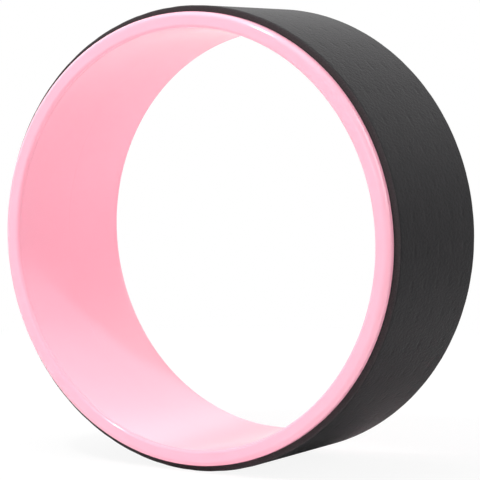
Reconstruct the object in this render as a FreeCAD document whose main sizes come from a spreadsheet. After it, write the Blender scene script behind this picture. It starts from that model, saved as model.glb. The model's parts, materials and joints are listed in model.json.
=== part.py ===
"""A yoga wheel: a hollow plastic hoop in two welded halves, with a foam mat strip glued round it.

The wheel's axis is Y and its centre is the origin. The front opening faces -Y and +Z is up. Lengths are in
millimetres. Sizes run outwards from the bore and outwards from mid width, so each can be changed by itself.
"""
import FreeCAD, Part
import os

import Sketcher

# Name, value and meaning of every driving size
SIZES = (
    ("bore_radius", 149.4, "inside of the hoop"),
    ("wall_thickness", 3.0, "the hoop's inner and outer walls"),
    ("cavity_width", 3.95, "hollow between the two walls"),
    ("film_clearance", 0.25, "glue line between the hoop and the adhesive tape"),
    ("film_thickness", 0.4, "double-sided adhesive tape"),
    ("mat_thickness", 5.0, "foam mat"),
    ("mat_width", 114.0, "foam mat, along the axis"),
    ("mat_edge_round", 1.4, "worn outer edges of the mat"),
    ("mat_joint_gap", 0.3, "between the two butted ends of the mat"),
    ("film_inset", 2.0, "the adhesive stops short of the mat's edges"),
    ("seat_clearance", 0.4, "between the mat's edge and the rim's shoulder"),
    ("rim_land", 7.6, "rim, along the axis, beyond the mat's seat"),
    ("rim_height", 1.15, "rim above the mat's seat"),
    ("rim_thickness", 3.5, "end wall of the rim"),
    ("rim_outer_round", 4.0, "outer corner of the rim"),
    ("rim_inner_round", 2.2, "corner between the rim and the bore"),
    ("shoulder_round", 0.4, "rim's edge beside the mat"),
    ("rib_thickness", 2.0, "ribs that tie the two walls together"),
    ("rib_recess", 0.3, "ribs and posts stop short of mid width"),
    ("peg_radius", 1.5, "locating pegs"),
    ("peg_length", 4.0, "locating pegs, beyond mid width"),
    ("peg_clearance", 0.1, "round a peg in its socket"),
    ("socket_spare_depth", 0.5, "beyond a peg's end"),
    ("post_wall", 1.6, "round a socket"),
    ("rib_count", 24, "ribs in each half"),
    ("peg_count", 4, "pegs in each half, and as many sockets"),
    ("joint_turn", 180, "degrees round the axis to the mat's joint"),
    ("stand_turn", 270, "degrees round the axis to the foot of the standing wheel"),
    ("stand_flat", 0.12, "depth of foam that the wheel's weight presses flat at its foot"),
    ("round_limit_share", 0.9, "most of a wall that a round may take"),
    ("peg_turn_share", 0.25, "place of a peg in its part of a turn"),
)

# Radii, from the bore outwards
CAVITY_INSIDE = "(sizes.bore_radius + sizes.wall_thickness)"
CAVITY_OUTSIDE = f"({CAVITY_INSIDE} + sizes.cavity_width)"
CAVITY_MIDDLE = f"({CAVITY_INSIDE} + sizes.cavity_width / 2)"
SEAT_RADIUS = f"({CAVITY_OUTSIDE} + sizes.wall_thickness)"
RIM_RADIUS = f"({SEAT_RADIUS} + sizes.rim_height)"
FILM_INSIDE = f"({SEAT_RADIUS} + sizes.film_clearance)"
MAT_INSIDE = f"({FILM_INSIDE} + sizes.film_thickness)"
TREAD_RADIUS = f"({MAT_INSIDE} + sizes.mat_thickness)"

# Distances from mid width along the axis
MAT_EDGE = "(sizes.mat_width / 2)"
FILM_EDGE = f"({MAT_EDGE} - sizes.film_inset)"
SEAT_END = f"({MAT_EDGE} + sizes.seat_clearance)"
RIM_FACE = f"({SEAT_END} + sizes.rim_land)"
CAVITY_FLOOR = f"({RIM_FACE} - sizes.rim_thickness)"

# Rounds, limited by the walls that carry them
SHOULDER_ROUND = "min(sizes.shoulder_round; sizes.round_limit_share * sizes.rim_height)"
RIM_OUTER_ROUND = f"min(sizes.rim_outer_round; sizes.round_limit_share * (sizes.rim_land - {SHOULDER_ROUND}))"
RIM_INNER_ROUND = "min(sizes.rim_inner_round; sizes.round_limit_share * sizes.wall_thickness)"
MAT_EDGE_ROUND = "min(sizes.mat_edge_round; sizes.round_limit_share * sizes.mat_thickness)"

# Posts, pegs and sockets
SOCKET_RADIUS = "(sizes.peg_radius + sizes.peg_clearance)"
POST_RADIUS = f"({SOCKET_RADIUS} + sizes.post_wall)"
POST_LENGTH = f"({CAVITY_FLOOR} - sizes.rib_recess + sizes.rim_thickness / 2)"

# Codes that a sketch gives to the points of a curve, and to its own origin and x axis
START, END, CENTRE = range(1, 4)
ORIGIN_POINT = (-1, START)
SKETCH_X_AXIS = -1

doc = FreeCAD.newDocument("yoga_wheel")
sheet = doc.addObject("Spreadsheet::Sheet", "sizes")
for row, (alias, value, meaning) in enumerate(SIZES, start=1):
    sheet.set(f"A{row}", meaning)
    sheet.set(f"B{row}", str(value))
    sheet.setAlias(f"B{row}", alias)
doc.recompute()


def value_of(expression):
    """The number that a sum of named sizes gives now."""
    return float(sheet.evalExpression(expression))


def origin_plane(body, role):
    """The body's own plane of that role."""
    return next(feature for feature in body.Origin.OriginFeatures if feature.Role == role)


def new_sketch(body, name, role):
    """An empty sketch on one of the body's own planes."""
    sketch = body.newObject("Sketcher::SketchObject", f"{body.Name}_{name}")
    sketch.AttachmentSupport = [(origin_plane(body, role), "")]
    sketch.MapMode = "FlatFace"
    return sketch


def bind(sketch, constraint, expression):
    """Adds one dimension to a sketch and ties it to the named sizes."""
    index = sketch.addConstraint(constraint)
    name = f"size_{index}"
    sketch.renameConstraint(index, name)
    sketch.setExpression(f"Constraints.{name}", expression)


def place_point(sketch, geometry, point, axis_name, side, expression):
    """Holds one coordinate of a point at a distance from the sketch's origin, on the given side of it."""
    ends = (*ORIGIN_POINT, geometry, point) if side > 0 else (geometry, point, *ORIGIN_POINT)
    bind(sketch, Sketcher.Constraint(f"Distance{axis_name}", *ends, value_of(expression)), expression)


def draw_outline(sketch, corners):
    """Draws a closed outline of straight runs along the sketch's two axes, with some corners rounded.

    A corner is (x, side of y, y, round). x, y and round are sums of named sizes, y is None on the x axis and
    round is None at a sharp corner.
    """
    count = len(corners)
    points = []
    for x, side, y, _ in corners:
        points.append(FreeCAD.Vector(value_of(x), side * value_of(y) if y else 0, 0))
    rounds = [value_of(corner[3]) if corner[3] else 0 for corner in corners]

    lines = []
    for here in range(count):
        there = (here + 1) % count
        along = (points[there] - points[here]).normalize()
        start = points[here] + along * rounds[here]
        end = points[there] - along * rounds[there]
        line = sketch.addGeometry(Part.LineSegment(start, end))
        lines.append(line)
        runs_along_x = abs(along.x) > abs(along.y)
        sketch.addConstraint(Sketcher.Constraint("Horizontal" if runs_along_x else "Vertical", line))
        x, side, y, _ = corners[here]
        if not runs_along_x:
            place_point(sketch, line, START, "X", 1, x)
        elif y:
            place_point(sketch, line, START, "Y", side, y)
        else:
            sketch.addConstraint(Sketcher.Constraint("PointOnObject", line, START, SKETCH_X_AXIS))

    for here in range(count):
        before = lines[here - 1]
        after = lines[here]
        if not corners[here][3]:
            sketch.addConstraint(Sketcher.Constraint("Coincident", before, END, after, START))
            continue
        into = (points[here] - points[here - 1]).normalize()
        away = (points[(here + 1) % count] - points[here]).normalize()
        centre = points[here] + (away - into) * rounds[here]
        corner_side = (into - away).normalize()
        arc_shape = Part.Arc(
            points[here] - into * rounds[here],
            centre + corner_side * rounds[here],
            points[here] + away * rounds[here],
        )
        arc = sketch.addGeometry(arc_shape)
        turns_left = into.x * away.y - into.y * away.x > 0
        first, second = (START, END) if turns_left else (END, START)
        sketch.addConstraint(Sketcher.Constraint("Tangent", before, END, arc, first))
        sketch.addConstraint(Sketcher.Constraint("Tangent", arc, second, after, START))
        bind(sketch, Sketcher.Constraint("Radius", arc, rounds[here]), corners[here][3])


def revolve(body, sketch, turn_expression=None):
    """Turns a sketch round the wheel's axis, all the way or by the given angle."""
    feature = body.newObject("PartDesign::Revolution", f"{body.Name}_ring")
    feature.Profile = sketch
    feature.ReferenceAxis = (sketch, ["V_Axis"])
    feature.Angle = 360
    if turn_expression:
        feature.setExpression("Angle", turn_expression)
    return feature


def repeat_round(body, feature, name, count_expression):
    """Repeats a feature evenly round the wheel's axis."""
    pattern = body.newObject("PartDesign::PolarPattern", f"{body.Name}_{name}")
    pattern.Originals = [feature]
    pattern.Axis = (next(axis for axis in body.Origin.OriginFeatures if axis.Role == "Y_Axis"), [""])
    pattern.Angle = 360
    pattern.setExpression("Occurrences", count_expression)
    body.Tip = pattern
    return pattern


def turned_sketch(body, name, turn_expression, depth_expression=None):
    """A sketch across the wheel's axis, turned round it, and set back from mid width into the front half."""
    sketch = new_sketch(body, name, "XZ_Plane")
    sketch.AttachmentOffset = FreeCAD.Placement(FreeCAD.Vector(), FreeCAD.Rotation(FreeCAD.Vector(0, 0, 1), 1))
    sketch.setExpression("AttachmentOffset.Rotation.Angle", turn_expression)
    if depth_expression:
        sketch.setExpression("AttachmentOffset.Base.z", depth_expression)
    return sketch


def draw_post_circle(sketch, radius_expression):
    """Draws a circle on the sketch's x axis, in the middle of the hollow."""
    centre = FreeCAD.Vector(value_of(CAVITY_MIDDLE), 0, 0)
    circle = sketch.addGeometry(Part.Circle(centre, FreeCAD.Vector(0, 0, 1), value_of(radius_expression)))
    sketch.addConstraint(Sketcher.Constraint("PointOnObject", circle, CENTRE, SKETCH_X_AXIS))
    place_point(sketch, circle, CENTRE, "X", 1, CAVITY_MIDDLE)
    bind(sketch, Sketcher.Constraint("Radius", circle, value_of(radius_expression)), radius_expression)


def pad(body, sketch, name, length_expression, reversed_way=False):
    """Raises a sketch into a solid of the given length."""
    feature = body.newObject("PartDesign::Pad", f"{body.Name}_{name}")
    feature.Profile = sketch
    feature.Reversed = reversed_way
    feature.setExpression("Length", length_expression)
    return feature


def add_ribs(body):
    """Radial ribs from wall to wall, from near mid width down into the rim's end wall."""
    sketch = turned_sketch(body, "rib_outline", "180 deg / sizes.rib_count", "sizes.rib_recess")
    inside = f"({CAVITY_INSIDE} - sizes.wall_thickness / 2)"
    outside = f"({CAVITY_OUTSIDE} + sizes.wall_thickness / 2)"
    half_rib = "(sizes.rib_thickness / 2)"
    draw_outline(sketch, (
        (inside, -1, half_rib, None),
        (outside, -1, half_rib, None),
        (outside, 1, half_rib, None),
        (inside, 1, half_rib, None),
    ))
    repeat_round(body, pad(body, sketch, "rib", POST_LENGTH), "ribs", "sizes.rib_count")


def add_pegs_and_sockets(body):
    """Round posts in the hollow: half of them carry a peg, and the others a socket for the other half's peg."""
    part_turn = "(360 deg / sizes.peg_count)"
    peg_turn = f"{part_turn} * sizes.peg_turn_share"
    socket_turn = f"{part_turn} * (1 - sizes.peg_turn_share)"
    for kind, turn in (("peg", peg_turn), ("socket", socket_turn)):
        post_sketch = turned_sketch(body, f"{kind}_post_outline", turn, "sizes.rib_recess")
        draw_post_circle(post_sketch, POST_RADIUS)
        post = pad(body, post_sketch, f"{kind}_post", POST_LENGTH)
        repeat_round(body, post, f"{kind}_posts", "sizes.peg_count")

    peg_sketch = turned_sketch(body, "peg_outline", peg_turn, "sizes.rib_recess")
    draw_post_circle(peg_sketch, "sizes.peg_radius")
    peg = pad(body, peg_sketch, "peg", "sizes.peg_length + sizes.rib_recess", reversed_way=True)
    repeat_round(body, peg, "pegs", "sizes.peg_count")

    socket_sketch = turned_sketch(body, "socket_outline", socket_turn)
    draw_post_circle(socket_sketch, SOCKET_RADIUS)
    socket = body.newObject("PartDesign::Pocket", f"{body.Name}_socket")
    socket.Profile = socket_sketch
    socket.Reversed = True
    socket.setExpression("Length", "sizes.peg_length + sizes.socket_spare_depth")
    repeat_round(body, socket, "sockets", "sizes.peg_count")


def hoop_half(label, half_turns):
    """One moulded half of the hoop, open at mid width, turned end for end by half turns about X."""
    body = doc.addObject("PartDesign::Body", label)
    section = new_sketch(body, "section", "XY_Plane")
    draw_outline(section, (
        ("sizes.bore_radius", 1, None, None),
        ("sizes.bore_radius", -1, RIM_FACE, RIM_INNER_ROUND),
        (RIM_RADIUS, -1, RIM_FACE, RIM_OUTER_ROUND),
        (RIM_RADIUS, -1, SEAT_END, SHOULDER_ROUND),
        (SEAT_RADIUS, -1, SEAT_END, None),
        (SEAT_RADIUS, 1, None, None),
        (CAVITY_OUTSIDE, 1, None, None),
        (CAVITY_OUTSIDE, -1, CAVITY_FLOOR, None),
        (CAVITY_INSIDE, -1, CAVITY_FLOOR, None),
        (CAVITY_INSIDE, 1, None, None),
    ))
    revolve(body, section)
    add_ribs(body)
    add_pegs_and_sockets(body)
    body.Placement = FreeCAD.Placement(
        FreeCAD.Vector(), FreeCAD.Rotation(FreeCAD.Vector(1, 0, 0), 180 * half_turns)
    )
    return body


def wrapped_strip(label, inside, outside, half_width, edge_round):
    """A strip bent once round the hoop, with a small gap where its two ends meet."""
    body = doc.addObject("PartDesign::Body", label)
    section = new_sketch(body, "section", "XY_Plane")
    section.AttachmentOffset = FreeCAD.Placement(FreeCAD.Vector(), FreeCAD.Rotation(FreeCAD.Vector(0, 1, 0), 1))
    section.setExpression("AttachmentOffset.Rotation.Angle", "sizes.joint_turn * 1 deg")
    draw_outline(section, (
        (inside, -1, half_width, None),
        (outside, -1, half_width, edge_round),
        (outside, 1, half_width, edge_round),
        (inside, 1, half_width, None),
    ))
    revolve(body, section, f"360 deg - sizes.mat_joint_gap / {inside} * 180 deg / pi")
    return body


def press_flat(body):
    """Takes the small flat off the mat's outer face on which the wheel stands."""
    sketch = turned_sketch(body, "flat_outline", "sizes.stand_turn * 1 deg", MAT_EDGE)
    inside = f"({TREAD_RADIUS} - sizes.stand_flat)"
    outside = f"({TREAD_RADIUS} + sizes.stand_flat)"
    half_flat = f"sqrt(2 * {TREAD_RADIUS} * sizes.stand_flat)"
    draw_outline(sketch, (
        (inside, -1, half_flat, None),
        (outside, -1, half_flat, None),
        (outside, 1, half_flat, None),
        (inside, 1, half_flat, None),
    ))
    flat = body.newObject("PartDesign::Pocket", f"{body.Name}_flat")
    flat.Profile = sketch
    flat.setExpression("Length", "sizes.mat_width")
    return body


sub_parts = [
    hoop_half("hoop_front_half", 0),
    hoop_half("hoop_rear_half", 1),
    wrapped_strip("mat_adhesive_film", FILM_INSIDE, MAT_INSIDE, FILM_EDGE, None),
    press_flat(wrapped_strip("tread_mat", MAT_INSIDE, TREAD_RADIUS, MAT_EDGE, MAT_EDGE_ROUND)),
]
doc.recompute()

faults = [item.Name for item in doc.Objects if "Invalid" in item.State or "Error" in item.State]
for body in sub_parts:
    if body.Shape.isNull() or not body.Shape.isValid() or len(body.Shape.Solids) != 1:
        faults.append(body.Label)
if faults:
    raise RuntimeError("failed objects: " + ", ".join(faults))

os.makedirs("parts", exist_ok=True)
for body in sub_parts:
    body.Shape.exportStep(os.path.join("parts", body.Label + ".step"))
    print(body.Label, "volume", round(body.Shape.Volume), "box", body.Shape.BoundBox)
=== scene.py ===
"""A yoga wheel standing on its tread: glossy pink plastic hoop, charcoal foam mat strip, white studio.

The wheel's axis is Y, its centre is the origin and the photographed opening faces -Y. Lengths are in metres.
"""
import json
import math

import bpy
import numpy as np
from mathutils import Matrix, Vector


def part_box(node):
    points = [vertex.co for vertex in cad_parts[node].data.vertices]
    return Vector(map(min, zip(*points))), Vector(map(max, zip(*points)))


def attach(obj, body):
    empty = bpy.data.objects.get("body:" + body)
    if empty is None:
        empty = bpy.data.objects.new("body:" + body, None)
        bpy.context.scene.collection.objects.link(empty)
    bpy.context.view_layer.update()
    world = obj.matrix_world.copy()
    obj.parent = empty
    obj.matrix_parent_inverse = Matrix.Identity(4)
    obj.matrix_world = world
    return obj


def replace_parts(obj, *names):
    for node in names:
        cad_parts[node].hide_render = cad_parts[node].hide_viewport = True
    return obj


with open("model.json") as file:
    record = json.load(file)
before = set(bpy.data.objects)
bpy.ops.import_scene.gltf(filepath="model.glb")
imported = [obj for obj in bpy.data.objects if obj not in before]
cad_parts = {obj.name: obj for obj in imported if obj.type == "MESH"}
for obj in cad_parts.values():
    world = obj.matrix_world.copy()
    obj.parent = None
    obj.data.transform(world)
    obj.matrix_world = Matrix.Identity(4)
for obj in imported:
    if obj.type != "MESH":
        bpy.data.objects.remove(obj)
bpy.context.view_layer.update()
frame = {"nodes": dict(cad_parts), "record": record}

MM = 0.001
SHARP_ANGLE = math.radians(40)

# Sockets of a Mix node that mixes colours
COLOUR_A = 6
COLOUR_B = 7
COLOUR_RESULT = 2

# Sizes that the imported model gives
hoop_bore = next(mount for mount in frame["record"]["mounts"] if mount["name"] == "hoop_bore")
BORE_RADIUS = hoop_bore["dims"]["r_mm"] * MM
BORE_LENGTH = hoop_bore["dims"]["length_mm"] * MM
RIM_RADIUS = round(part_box("hoop_front_half")[1].z, 4)
RIM_FACE = round(-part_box("hoop_front_half")[0].y, 4)
PEG_END = round(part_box("hoop_front_half")[1].y, 4)
TAPE_RADIUS = round(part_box("mat_adhesive_film")[1].z, 4)
TREAD_RADIUS = round(-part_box("tread_mat")[0].x, 4)
MAT_EDGE = round(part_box("tread_mat")[1].y, 4)
FOOT = round(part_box("tread_mat")[0].z, 5)

# The moulded halves of the hoop
WALL = 3.0 * MM
RIM_WALL = 3.5 * MM
RIM_HEIGHT = 1.15 * MM
RIM_OUTER_ROUND = 4.0 * MM
RIM_INNER_ROUND = RIM_FACE - BORE_LENGTH / 2
SEAT_CLEARANCE = 0.4 * MM
SHOULDER_ROUND = 0.4 * MM
WELD_ROUND = 0.06 * MM
SEAM_FROM_FACE = 4.65 * MM
SEAM_STEP = 0.2 * MM
SEAM_DEPTH = 0.28 * MM
SEAM_WIDTH = 2.1 * MM
SEAT_RADIUS = RIM_RADIUS - RIM_HEIGHT
SEAT_END = MAT_EDGE + SEAT_CLEARANCE
HOLLOW_INSIDE = BORE_RADIUS + WALL
HOLLOW_OUTSIDE = SEAT_RADIUS - WALL
HOLLOW_MIDDLE = (HOLLOW_INSIDE + HOLLOW_OUTSIDE) / 2
HOLLOW_FLOOR = RIM_FACE - RIM_WALL
HOOP_SECTIONS = 720
ROUND_STEPS = 8
HOLD = 0.25 * MM

# Ribs and locating posts in the hollow
RIB_COUNT = 24
RIB_TURN_SHARE = 0.5
RIB_THICKNESS = 2.0 * MM
RIB_RECESS = 0.3 * MM
PEG_COUNT = 4
PEG_TURN_SHARE = 0.25
POST_CLEARANCE_SHARE = 0.1
PEG_RADIUS = 1.5 * MM
SOCKET_RADIUS = 1.6 * MM
SOCKET_DEPTH = 4.5 * MM
POST_RADIUS = 3.2 * MM
POST_SECTIONS = 32

# The mat strip and the hollows pressed into its outer face
MAT_JOINT_TURN = math.pi
MAT_JOINT_GAP = 0.3 * MM
MAT_EDGE_ROUND = 1.4 * MM
MAT_GRID = 1.35 * MM
MAT_ROUND_STEPS = 4
CUT_FACE_TILT = 0.3
DIMPLE_ROWS = 44
DIMPLE_FIRST_TURN = math.radians(6.89)
DIMPLE_COLUMN_PITCH = 18.9 * MM
DIMPLE_FIRST_COLUMN = 1.2 * MM
DIMPLE_LENGTH = 11.5 * MM
DIMPLE_WIDTH = 5.6 * MM
DIMPLE_DEPTH = 0.14 * MM

# The photograph's camera
PHOTO_SIDE = 480
CAMERA_YAW = math.radians(31.68)
CAMERA_PITCH = math.radians(4.08)
CAMERA_DISTANCE = 1644.2 * MM
CAMERA_TARGET = np.array((3.77, 0.0, -3.64)) * MM
CAMERA_FOCAL_PIXELS = 2259.6
SENSOR_WIDTH = 36.0

# Studio: each softbox has a direction from the wheel, a distance, its two sides and a level
FLOOR_SIDE = 12.0
FLOOR_WHITE_START = 0.45
FLOOR_WHITE_END = 0.9
FLOOR_WHITE_SHARE = 0.9
FRONT_FILL_LEVEL = 0.57
FRONT_FILL_FADE = 0.5
SOFTBOX_FADE = 0.3
SOFTBOXES = {
    "key_softbox": ((-0.122, -0.482, 0.868), 1.8, 0.13, 0.13, 0.37),
    "overhead_softbox": ((-0.2, -0.3, 0.93), 2.0, 2.0, 2.0, 0.7),
    "front_softbox": ((0.06, -0.97, 0.17), 2.0, 1.0, 0.4, 0.06),
    "back_softbox": ((-0.05, 0.85, 0.5), 2.0, 2.0, 1.0, 0.145),
    "left_softbox": ((-0.9, 0.28, 0.38), 2.0, 1.8, 1.2, 0.17),
    "right_softbox": ((0.74, 0.45, 0.455), 2.0, 1.6, 1.2, 0.44),
}


def linear(hex_colour):
    """An sRGB hex colour as linear red, green, blue and alpha."""
    channels = np.array([int(hex_colour[start:start + 2], 16) for start in (1, 3, 5)]) / 255
    low = channels / 12.92
    high = ((channels + 0.055) / 1.055) ** 2.4
    return (*np.where(channels <= 0.04045, low, high), 1.0)


def add_node(tree, kind, inputs=None, **settings):
    """Adds one node: settings are its properties, inputs are values or other nodes' outputs, by socket."""
    node = tree.nodes.new(kind)
    for name, value in settings.items():
        setattr(node, name, value)
    for socket, value in (inputs or {}).items():
        if isinstance(value, bpy.types.NodeSocket):
            tree.links.new(value, node.inputs[socket])
        else:
            node.inputs[socket].default_value = value
    return node


def seen_rays(tree, rays):
    """1 for what the camera sees straight, in gloss or through clear things, 0 for light on the wheel."""
    straight = add_node(tree, "ShaderNodeMath", {
        0: rays.outputs["Is Camera Ray"], 1: rays.outputs["Is Glossy Ray"],
    }, operation="ADD")
    through = add_node(tree, "ShaderNodeMath", {
        0: straight.outputs["Value"], 1: rays.outputs["Is Transmission Ray"],
    }, operation="ADD", use_clamp=True)
    return through.outputs["Value"]


def new_material(name):
    """An empty node material and its tree."""
    material = bpy.data.materials.new(name)
    material.use_nodes = True
    material.node_tree.nodes.clear()
    return material, material.node_tree


def add_piece(name, points, faces, material, slot=None):
    """A smooth-shaded mesh object at the origin, made of an array of points and lists of corner numbers."""
    mesh = bpy.data.meshes.new(name)
    mesh.from_pydata(points.reshape(-1, 3).tolist(), [], faces)
    mesh.shade_smooth()
    mesh.materials.append(material)
    piece = bpy.data.objects.new(name, mesh)
    bpy.context.scene.collection.objects.link(piece)
    if slot:
        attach(piece, "root")
    return piece


def rounded_loop(corners, steps):
    """A closed outline in a plane, counter-clockwise, with its corners rounded.

    Each corner is (x, y, round). A rounded one becomes a quarter circle of that radius, centred one round in
    from both runs, in equal steps of angle. A holding point follows on each run, so that the shading stays
    flat.
    """
    spots = np.array([corner[:2] for corner in corners])
    outline = []
    for here, (_, _, round_off) in enumerate(corners):
        into = spots[here] - spots[here - 1]
        away = spots[(here + 1) % len(corners)] - spots[here]
        into = into / np.linalg.norm(into)
        away = away / np.linalg.norm(away)
        if not round_off:
            outline.append(spots[here][None])
            continue
        hold = min(HOLD, round_off)
        centre = spots[here] + (away - into) * round_off
        angle = np.linspace(0, math.pi / 2, steps + 1)[:, None]
        arc = centre - away * round_off * np.cos(angle) + into * round_off * np.sin(angle)
        outline += [arc[:1] - into * hold, arc, arc[-1:] + away * hold]
    return np.concatenate(outline)


def ring_points(outline, turns):
    """Carries an outline of (radius, y) points round the wheel's axis: one copy at each turn."""
    radius = outline[None, :, 0]
    across = np.broadcast_to(outline[None, :, 1], (len(turns), len(outline)))
    turn = turns[:, None]
    return np.stack((radius * np.cos(turn), across, radius * np.sin(turn)), axis=-1)


def ring_faces(sections, loop, closed):
    """Four-sided faces between neighbouring copies of an outline, the last joined to the first if closed."""
    here = np.arange(sections if closed else sections - 1)[:, None]
    there = (here + 1) % sections
    side = np.arange(loop)
    beside = (side + 1) % loop
    quads = (here * loop + side, here * loop + beside, there * loop + beside, there * loop + side)
    return np.stack(quads, axis=-1).reshape(-1, 4).tolist()


def even_turns(count):
    """Angles that divide a full turn evenly."""
    return np.arange(count) / count * math.tau


def moulded_abs():
    """Pink ABS, injection moulded in a polished tool: smooth gloss over a colour that hardly varies."""
    material, tree = new_material("moulded_gloss_abs_pink")
    place = add_node(tree, "ShaderNodeTexCoord").outputs["Object"]
    cloud_size = 60 * MM
    ripple_size = 9 * MM
    ripple_depth = 0.006 * MM
    cloud = add_node(tree, "ShaderNodeTexNoise", {"Vector": place, "Scale": 1 / cloud_size, "Detail": 3.0})
    colour = add_node(tree, "ShaderNodeMix", {
        "Factor": cloud.outputs["Fac"], COLOUR_A: linear("#FDB0C4"), COLOUR_B: linear("#FEB5C8"),
    }, data_type="RGBA")
    handling = add_node(tree, "ShaderNodeMapRange", {
        "Value": cloud.outputs["Fac"], "To Min": 0.1, "To Max": 0.15,
    })
    ripple = add_node(tree, "ShaderNodeTexNoise", {"Vector": place, "Scale": 1 / ripple_size, "Detail": 1.0})
    bump = add_node(tree, "ShaderNodeBump", {
        "Height": ripple.outputs["Fac"], "Strength": 1.0, "Distance": ripple_depth,
    })
    shader = add_node(tree, "ShaderNodeBsdfPrincipled", {
        "Base Color": colour.outputs[COLOUR_RESULT], "Roughness": handling.outputs["Result"],
        "Normal": bump.outputs["Normal"], "IOR": 1.53,
    })
    add_node(tree, "ShaderNodeOutputMaterial", {"Surface": shader.outputs["BSDF"]})
    return material


def pressed_foam():
    """Charcoal elastomer foam with a pressed skin: matt, with a fine grain, longer across the strip."""
    material, tree = new_material("pressed_skin_foam_charcoal")
    place = add_node(tree, "ShaderNodeTexCoord").outputs["UV"]
    grain_size = 2.0 * MM
    grain_stretch = 1.7
    grain_depth = 0.36 * MM
    patch_size = 14 * MM
    stretched = add_node(tree, "ShaderNodeMapping", {"Vector": place, "Scale": (1, 1 / grain_stretch, 1)})
    grain = add_node(tree, "ShaderNodeTexNoise", {
        "Vector": stretched.outputs["Vector"], "Scale": 1 / grain_size, "Detail": 3.0, "Roughness": 0.6,
    })
    patch = add_node(tree, "ShaderNodeTexNoise", {"Vector": place, "Scale": 1 / patch_size, "Detail": 2.0})
    mottle = add_node(tree, "ShaderNodeMath", {
        0: grain.outputs["Fac"], 1: patch.outputs["Fac"],
    }, operation="MULTIPLY")
    colour = add_node(tree, "ShaderNodeMix", {
        "Factor": mottle.outputs["Value"], COLOUR_A: linear("#151416"), COLOUR_B: linear("#282628"),
    }, data_type="RGBA")
    bump = add_node(tree, "ShaderNodeBump", {
        "Height": grain.outputs["Fac"], "Strength": 1.0, "Distance": grain_depth,
    })
    shader = add_node(tree, "ShaderNodeBsdfPrincipled", {
        "Base Color": colour.outputs[COLOUR_RESULT], "Roughness": 0.45, "Normal": bump.outputs["Normal"],
        "IOR": 1.48, "Specular IOR Level": 0.054,
    })
    add_node(tree, "ShaderNodeOutputMaterial", {"Surface": shader.outputs["BSDF"]})
    return material


def cut_foam():
    """The same foam where a knife has cut it: open cells, rougher and without the skin's sheen.

    The cells are drawn coarser than real ones, so that they show. The charcoal colours hold a faint warm red
    tint that is painted reflection of pink light from the rim.
    """
    material, tree = new_material("knife_cut_foam_charcoal")
    place = add_node(tree, "ShaderNodeTexCoord").outputs["Object"]
    cell_size = 0.9 * MM
    cell_depth = 0.2 * MM
    cells = add_node(tree, "ShaderNodeTexVoronoi", {"Vector": place, "Scale": 1 / cell_size})
    # Charcoal with a faint warm red tint: painted reflection of the pink rim's light on the cut edge.
    colour = add_node(tree, "ShaderNodeMix", {
        "Factor": cells.outputs["Distance"], COLOUR_A: linear("#221D1F"), COLOUR_B: linear("#352F31"),
    }, data_type="RGBA")
    bump = add_node(tree, "ShaderNodeBump", {
        "Height": cells.outputs["Distance"], "Strength": 0.7, "Distance": cell_depth,
    })
    shader = add_node(tree, "ShaderNodeBsdfPrincipled", {
        "Base Color": colour.outputs[COLOUR_RESULT], "Roughness": 0.9, "Normal": bump.outputs["Normal"],
        "IOR": 1.48,
    })
    add_node(tree, "ShaderNodeOutputMaterial", {"Surface": shader.outputs["BSDF"]})
    return material


def tissue_tape():
    """Double-sided acrylic tape: a cream tissue with fibres that just show, soaked in clear adhesive."""
    material, tree = new_material("tissue_tape_clear_acrylic")
    place = add_node(tree, "ShaderNodeTexCoord").outputs["Object"]
    fibre_size = 2 * MM
    fibres = add_node(tree, "ShaderNodeTexNoise", {
        "Vector": place, "Scale": 1 / fibre_size, "Detail": 4.0, "Distortion": 1.5,
    })
    colour = add_node(tree, "ShaderNodeMix", {
        "Factor": fibres.outputs["Fac"], COLOUR_A: linear("#D9D2C0"), COLOUR_B: linear("#EAE5D8"),
    }, data_type="RGBA")
    shader = add_node(tree, "ShaderNodeBsdfPrincipled", {
        "Base Color": colour.outputs[COLOUR_RESULT], "Roughness": 0.35, "IOR": 1.47,
    })
    add_node(tree, "ShaderNodeOutputMaterial", {"Surface": shader.outputs["BSDF"]})
    return material


def studio_paper():
    """Matt white paper: the camera sees the wheel's shadow on it faintly, and plain white further off.

    The white share grows from the near share to all of it between two distances from the wheel's centre.
    Gloss shows the far white too, and the near paper as it is lit.
    """
    material, tree = new_material("seamless_paper_white")
    place = add_node(tree, "ShaderNodeTexCoord").outputs["Object"]
    distance = add_node(tree, "ShaderNodeVectorMath", {0: place}, operation="LENGTH")
    far_off = add_node(tree, "ShaderNodeMapRange", {
        "Value": distance.outputs["Value"], "From Min": FLOOR_WHITE_START, "From Max": FLOOR_WHITE_END,
    }, interpolation_type="SMOOTHSTEP")
    rays = add_node(tree, "ShaderNodeLightPath")
    seen = seen_rays(tree, rays)
    far_white = add_node(tree, "ShaderNodeMath", {
        0: far_off.outputs["Result"], 1: seen,
    }, operation="MULTIPLY")
    near_white = add_node(tree, "ShaderNodeMath", {
        0: rays.outputs["Is Camera Ray"], 1: FLOOR_WHITE_SHARE,
    }, operation="MULTIPLY")
    share = add_node(tree, "ShaderNodeMath", {
        0: far_white.outputs["Value"], 1: near_white.outputs["Value"],
    }, operation="MAXIMUM")
    paper = add_node(tree, "ShaderNodeBsdfDiffuse", {"Color": linear("#FAFAFA")})
    white = add_node(tree, "ShaderNodeEmission", {"Color": linear("#FFFFFF"), "Strength": 1.0})
    mixed = add_node(tree, "ShaderNodeMixShader", {
        0: share.outputs["Value"], 1: paper.outputs["BSDF"], 2: white.outputs["Emission"],
    })
    add_node(tree, "ShaderNodeOutputMaterial", {"Surface": mixed.outputs["Shader"]})
    return material


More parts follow.
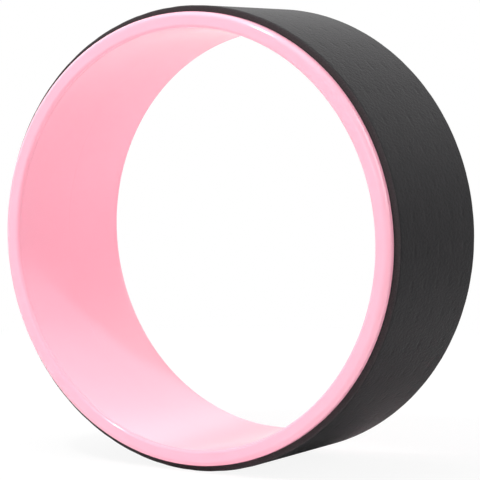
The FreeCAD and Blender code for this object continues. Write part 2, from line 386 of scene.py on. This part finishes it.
def hoop_outline():
    """Section of the front half: bore wall, rim with its rounds, mat seat and the hollow between the walls.

    Just behind the rim's inner round the mould's seam shows: the wall falls away gently and steps back up.
    """
    seam = RIM_FACE - SEAM_FROM_FACE
    return rounded_loop((
        (BORE_RADIUS, 0, WELD_ROUND),
        (BORE_RADIUS, HOLD - seam, 0),
        (BORE_RADIUS, -seam, 0),
        (BORE_RADIUS + SEAM_DEPTH, -seam - SEAM_STEP, 0),
        (BORE_RADIUS, -seam - SEAM_WIDTH, 0),
        (BORE_RADIUS, -RIM_FACE, RIM_INNER_ROUND),
        (RIM_RADIUS, -RIM_FACE, RIM_OUTER_ROUND),
        (RIM_RADIUS, -SEAT_END, SHOULDER_ROUND),
        (SEAT_RADIUS, -SEAT_END, 0),
        (SEAT_RADIUS, 0, WELD_ROUND),
        (HOLLOW_OUTSIDE, 0, 0),
        (HOLLOW_OUTSIDE, -HOLLOW_FLOOR, 0),
        (HOLLOW_INSIDE, -HOLLOW_FLOOR, 0),
        (HOLLOW_INSIDE, 0, 0),
    ), ROUND_STEPS)


def stack_faces(stacks, rings, loop):
    """Faces of several stacks of rings: four-sided ones up the sides and one across each end."""
    first = np.arange(stacks)[:, None, None] * rings * loop
    level = np.arange(rings - 1)[None, :, None] * loop
    side = np.arange(loop)
    beside = (side + 1) % loop
    sides = np.stack([first + part for part in (
        level + side, level + loop + side, level + loop + beside, level + beside,
    )], axis=-1)
    low_ends = first[:, 0] + side
    high_ends = first[:, 0] + (rings - 1) * loop + side[::-1]
    return sides.reshape(-1, 4).tolist() + low_ends.tolist() + high_ends.tolist()


def stack_points(turns, centre_radius, outward, sideways, across):
    """Points of a stack of rings at each turn: outward and sideways from its axis, across along it."""
    turn = turns[:, None, None]
    radius = centre_radius + outward
    x = radius * np.cos(turn) - sideways * np.sin(turn)
    z = radius * np.sin(turn) + sideways * np.cos(turn)
    return np.stack(np.broadcast_arrays(x, across, z), axis=-1)


def hollow_ribs():
    """Radial ribs from wall to wall, from near mid width into the rim's end wall, none where a post stands.

    Posts stand at the odd multiples of the first one's turn. A rib that is counted in steps between them
    meets a post where the count comes close to a whole number.
    """
    turns = (np.arange(RIB_COUNT) + RIB_TURN_SHARE) / RIB_COUNT * math.tau
    post_turn = math.tau / PEG_COUNT * PEG_TURN_SHARE
    steps = (turns - post_turn) / (2 * post_turn)
    turns = turns[np.abs(steps - np.round(steps)) > POST_CLEARANCE_SHARE]
    half_length = (HOLLOW_OUTSIDE - HOLLOW_INSIDE + WALL) / 2
    outward = np.array((-1, 1, 1, -1)) * half_length
    sideways = np.array((-1, -1, 1, 1)) * RIB_THICKNESS / 2
    across = np.array((-HOLLOW_FLOOR - RIM_WALL / 2, -RIB_RECESS))[:, None]
    points = stack_points(turns, HOLLOW_MIDDLE, outward[None, None], sideways[None, None], across[None])
    return points.reshape(-1, 3), stack_faces(len(turns), len(across), len(outward))


def hollow_posts(share, tip_radius, tip_end):
    """Round posts in the hollow, each narrowed at its end to a peg, or bored there for a socket."""
    turns = (np.arange(PEG_COUNT) + share) / PEG_COUNT * math.tau
    radius = np.array((POST_RADIUS, POST_RADIUS, tip_radius, tip_radius))[:, None]
    across = np.array((-HOLLOW_FLOOR - RIM_WALL / 2, -RIB_RECESS, -RIB_RECESS, tip_end))[:, None]
    angle = even_turns(POST_SECTIONS)[None]
    points = stack_points(
        turns, HOLLOW_MIDDLE, (radius * np.cos(angle))[None], (radius * np.sin(angle))[None], across[None])
    return points.reshape(-1, 3), stack_faces(PEG_COUNT, len(across), POST_SECTIONS)


def front_hoop(material):
    """The front half: its section carried round the axis, joined with the ribs and posts in its hollow."""
    outline = hoop_outline()
    points = ring_points(outline, even_turns(HOOP_SECTIONS))
    faces = ring_faces(HOOP_SECTIONS, len(outline), closed=True)
    piece = add_piece("front_hoop_moulding", points, faces, material, "hoop_plastic")
    inner_points = []
    inner_faces = []
    for some_points, some_faces in (
        hollow_ribs(),
        hollow_posts(PEG_TURN_SHARE, PEG_RADIUS, PEG_END),
        hollow_posts(1 - PEG_TURN_SHARE, SOCKET_RADIUS, -SOCKET_DEPTH),
    ):
        first = sum(len(group) for group in inner_points)
        inner_points.append(some_points)
        inner_faces += [[first + corner for corner in face] for face in some_faces]
    inner = add_piece("ribs_and_posts", np.concatenate(inner_points), inner_faces, material)
    join = piece.modifiers.new("join", "BOOLEAN")
    join.operation = "UNION"
    join.solver = "EXACT"
    join.object = inner
    whole = bpy.data.meshes.new_from_object(piece.evaluated_get(bpy.context.evaluated_depsgraph_get()))
    piece.modifiers.clear()
    piece.data = whole
    bpy.data.objects.remove(inner)
    whole.set_sharp_from_angle(angle=SHARP_ANGLE)
    return piece


def rear_hoop(front):
    """The rear half: the same moulding, turned end for end by half a turn about X."""
    mesh = front.data.copy()
    mesh.transform(Matrix.Rotation(math.pi, 4, "X"))
    piece = bpy.data.objects.new("rear_hoop_moulding", mesh)
    bpy.context.scene.collection.objects.link(piece)
    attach(piece, "root")
    return piece


def dimple_depth(turn, across):
    """Depth of the pattern pressed into the mat: an oval bowl at each crossing of even rows and columns.

    With a point's distance from the nearest bowl's centre as a share of the bowl's half length and half
    width, the depth is the full depth times (1 - distance squared) to the power 1.5.
    """
    row = (turn - DIMPLE_FIRST_TURN) / math.tau * DIMPLE_ROWS
    along = (row - np.round(row)) * math.tau * TREAD_RADIUS / DIMPLE_ROWS / (DIMPLE_LENGTH / 2)
    column = (across - DIMPLE_FIRST_COLUMN) / DIMPLE_COLUMN_PITCH
    aside = (column - np.round(column)) * DIMPLE_COLUMN_PITCH / (DIMPLE_WIDTH / 2)
    return DIMPLE_DEPTH * np.clip(1 - along ** 2 - aside ** 2, 0, 1) ** 1.5


def mat_outline():
    """Section of the mat: outer face in small even steps, rounded outer edges, two cut edges, inner face."""
    flat_edge = MAT_EDGE - MAT_EDGE_ROUND
    angle = np.linspace(0, math.pi / 2, MAT_ROUND_STEPS + 1)
    inward = MAT_EDGE_ROUND * (1 - np.cos(angle))
    sideways = MAT_EDGE_ROUND * np.sin(angle)
    rear_round = np.stack((TREAD_RADIUS - inward, flat_edge + sideways), axis=-1)
    front_round = rear_round[::-1] * (1, -1)
    steps = round(2 * flat_edge / MAT_GRID)
    across = np.linspace(-flat_edge, flat_edge, steps + 1)
    face = np.stack((np.full_like(across, TREAD_RADIUS), across), axis=-1)
    inner = np.array(((TAPE_RADIUS, MAT_EDGE), (TAPE_RADIUS, -MAT_EDGE)))
    return np.concatenate((face, rear_round[1:], inner, front_round[:-1]))


def tread_mat(skin, cut):
    """The mat strip wrapped once round: its section carried round the axis, less the depth of the pattern.

    The two ends stop short of each other by the joint's gap and are closed by flat cut faces, the last two
    in the mesh. The foot is pressed flat where the wheel stands.
    """
    outline = mat_outline()
    loop = len(outline)
    sections = round(math.tau * TREAD_RADIUS / MAT_GRID)
    half_gap = MAT_JOINT_GAP / 2 / TREAD_RADIUS
    turns = MAT_JOINT_TURN + np.linspace(half_gap, math.tau - half_gap, sections)
    points = ring_points(outline, turns)
    radius = np.broadcast_to(outline[:, 0], (sections, loop))
    across = np.broadcast_to(outline[:, 1], (sections, loop))
    height = np.clip((radius - TREAD_RADIUS + MAT_EDGE_ROUND) / MAT_EDGE_ROUND, 0, 1)
    pressed = radius - height * dimple_depth(turns[:, None], across)
    points = points * (pressed / radius)[..., None] * (1, 0, 1) + points * (0, 1, 0)
    points[..., 2] = np.maximum(points[..., 2], FOOT)

    faces = ring_faces(sections, loop, closed=False)
    first_end = list(range(loop))
    last_end = list(range((sections - 1) * loop, sections * loop))
    faces += [first_end[::-1], last_end]
    piece = add_piece("foam_tread_mat", points, faces, skin, "mat_foam")

    mesh = piece.data
    mesh.materials.append(cut)
    normals = np.empty(len(mesh.polygons) * 3)
    mesh.polygons.foreach_get("normal", normals)
    is_cut = np.abs(normals.reshape(-1, 3)[:, 1]) > CUT_FACE_TILT
    is_cut[-2:] = True
    mesh.polygons.foreach_set("material_index", is_cut.astype(np.int32))
    mesh.set_sharp_from_angle(angle=SHARP_ANGLE)

    corner_points = np.empty(len(mesh.loops), np.int32)
    mesh.loops.foreach_get("vertex_index", corner_points)
    length_round = np.broadcast_to(turns[:, None] * TREAD_RADIUS, (sections, loop)).ravel()
    unrolled = np.stack((length_round, across.ravel()), axis=-1)
    mesh.uv_layers.new(name="unrolled").data.foreach_set("uv", unrolled[corner_points].ravel())
    return piece


def place_facing(thing, place, back, right):
    """Puts a camera or lamp in the scene at a place, with its back and its right in these directions."""
    bpy.context.scene.collection.objects.link(thing)
    pose = np.eye(4)
    pose[:3] = np.stack((right, np.cross(back, right), back, place), axis=-1)
    thing.matrix_world = pose.T.tolist()


def add_camera():
    """The photograph's camera: yaw and pitch about the wheel, looking at a point close to its centre."""
    back = np.array((
        math.sin(CAMERA_YAW) * math.cos(CAMERA_PITCH),
        -math.cos(CAMERA_YAW) * math.cos(CAMERA_PITCH),
        math.sin(CAMERA_PITCH),
    ))
    right = np.array((math.cos(CAMERA_YAW), math.sin(CAMERA_YAW), 0))
    camera = bpy.data.objects.new("camera", bpy.data.cameras.new("camera"))
    camera.data.sensor_width = SENSOR_WIDTH
    camera.data.lens = CAMERA_FOCAL_PIXELS * SENSOR_WIDTH / PHOTO_SIDE
    place_facing(camera, CAMERA_TARGET + back * CAMERA_DISTANCE, back, right)
    bpy.context.scene.camera = camera


def fade_edges(lamp):
    """Lets a lamp's brightness fall smoothly to nothing at its four edges.

    The place on a lamp runs from 0 to 1 along each side, so its distance from the middle is 0.5 at an edge.
    """
    lamp.use_nodes = True
    tree = lamp.node_tree
    tree.nodes.clear()
    place = add_node(tree, "ShaderNodeNewGeometry").outputs["Parametric"]
    sides = add_node(tree, "ShaderNodeSeparateXYZ", {"Vector": place})
    strength = 1.0
    for side in ("X", "Y"):
        from_middle = add_node(tree, "ShaderNodeMath", {
            0: sides.outputs[side], 1: 0.5,
        }, operation="SUBTRACT")
        off_middle = add_node(tree, "ShaderNodeMath", {
            0: from_middle.outputs["Value"],
        }, operation="ABSOLUTE")
        fade = add_node(tree, "ShaderNodeMapRange", {
            "Value": off_middle.outputs["Value"], "From Min": 0.5 - SOFTBOX_FADE, "From Max": 0.5,
            "To Min": 1.0, "To Max": 0.0,
        }, interpolation_type="SMOOTHSTEP")
        strength = add_node(tree, "ShaderNodeMath", {
            0: strength, 1: fade.outputs["Result"],
        }, operation="MULTIPLY").outputs["Value"]
    light = add_node(tree, "ShaderNodeEmission", {"Strength": strength})
    add_node(tree, "ShaderNodeOutputLight", {"Surface": light.outputs["Emission"]})


def add_softbox(name, direction, distance, width, height, level):
    """A rectangular lamp with soft edges that faces the wheel.

    Its sides are measured to half brightness. Level is how bright a white surface that faces it turns out.
    """
    lamp = bpy.data.lights.new(name, "AREA")
    lamp.shape = "RECTANGLE"
    lamp.size = width / (1 - SOFTBOX_FADE)
    lamp.size_y = height / (1 - SOFTBOX_FADE)
    lamp.energy = level * (math.pi * distance / (1 - SOFTBOX_FADE)) ** 2
    fade_edges(lamp)
    back = np.array(direction) / np.linalg.norm(direction)
    right = np.cross((0, 0, 1), back)
    right = right / np.linalg.norm(right)
    place_facing(bpy.data.objects.new(name, lamp), back * distance, back, right)


def add_white_room():
    """White all round to the camera and to gloss, and a weaker light on the wheel that comes from the front.

    That light fades from its full level to none as its direction turns from the front towards the back.
    """
    world = bpy.data.worlds.new("white_room")
    bpy.context.scene.world = world
    world.use_nodes = True
    tree = world.node_tree
    tree.nodes.clear()
    seen = seen_rays(tree, add_node(tree, "ShaderNodeLightPath"))
    direction = add_node(tree, "ShaderNodeTexCoord").outputs["Generated"]
    backwards = add_node(tree, "ShaderNodeSeparateXYZ", {"Vector": direction}).outputs["Y"]
    glow = add_node(tree, "ShaderNodeMapRange", {
        "Value": backwards, "From Min": -FRONT_FILL_FADE, "From Max": FRONT_FILL_FADE,
        "To Min": FRONT_FILL_LEVEL, "To Max": 0.0,
    }, interpolation_type="SMOOTHSTEP")
    strength = add_node(tree, "ShaderNodeMix", {
        "Factor": seen, "A": glow.outputs["Result"], "B": 1.0,
    })
    light = add_node(tree, "ShaderNodeBackground", {
        "Color": linear("#FFFFFF"), "Strength": strength.outputs["Result"],
    })
    add_node(tree, "ShaderNodeOutputWorld", {"Surface": light.outputs["Background"]})


def add_floor():
    """The paper that the wheel stands on."""
    half = FLOOR_SIDE / 2
    corners = np.array(((-half, -half), (half, -half), (half, half), (-half, half)))
    points = np.column_stack((corners, np.full(len(corners), FOOT)))
    add_piece("paper_floor", points, [[0, 1, 2, 3]], studio_paper())


front_half = front_hoop(moulded_abs())
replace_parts(front_half, "hoop_front_half")
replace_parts(rear_hoop(front_half), "hoop_rear_half")

mat = tread_mat(pressed_foam(), cut_foam())
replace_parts(mat, "tread_mat")

tape = frame["nodes"]["mat_adhesive_film"]
tape.data.materials.clear()
tape.data.materials.append(tissue_tape())

add_camera()
add_white_room()
for softbox_name, softbox in SOFTBOXES.items():
    add_softbox(softbox_name, *softbox)
add_floor()
bpy.context.scene.view_settings.view_transform = "Standard"
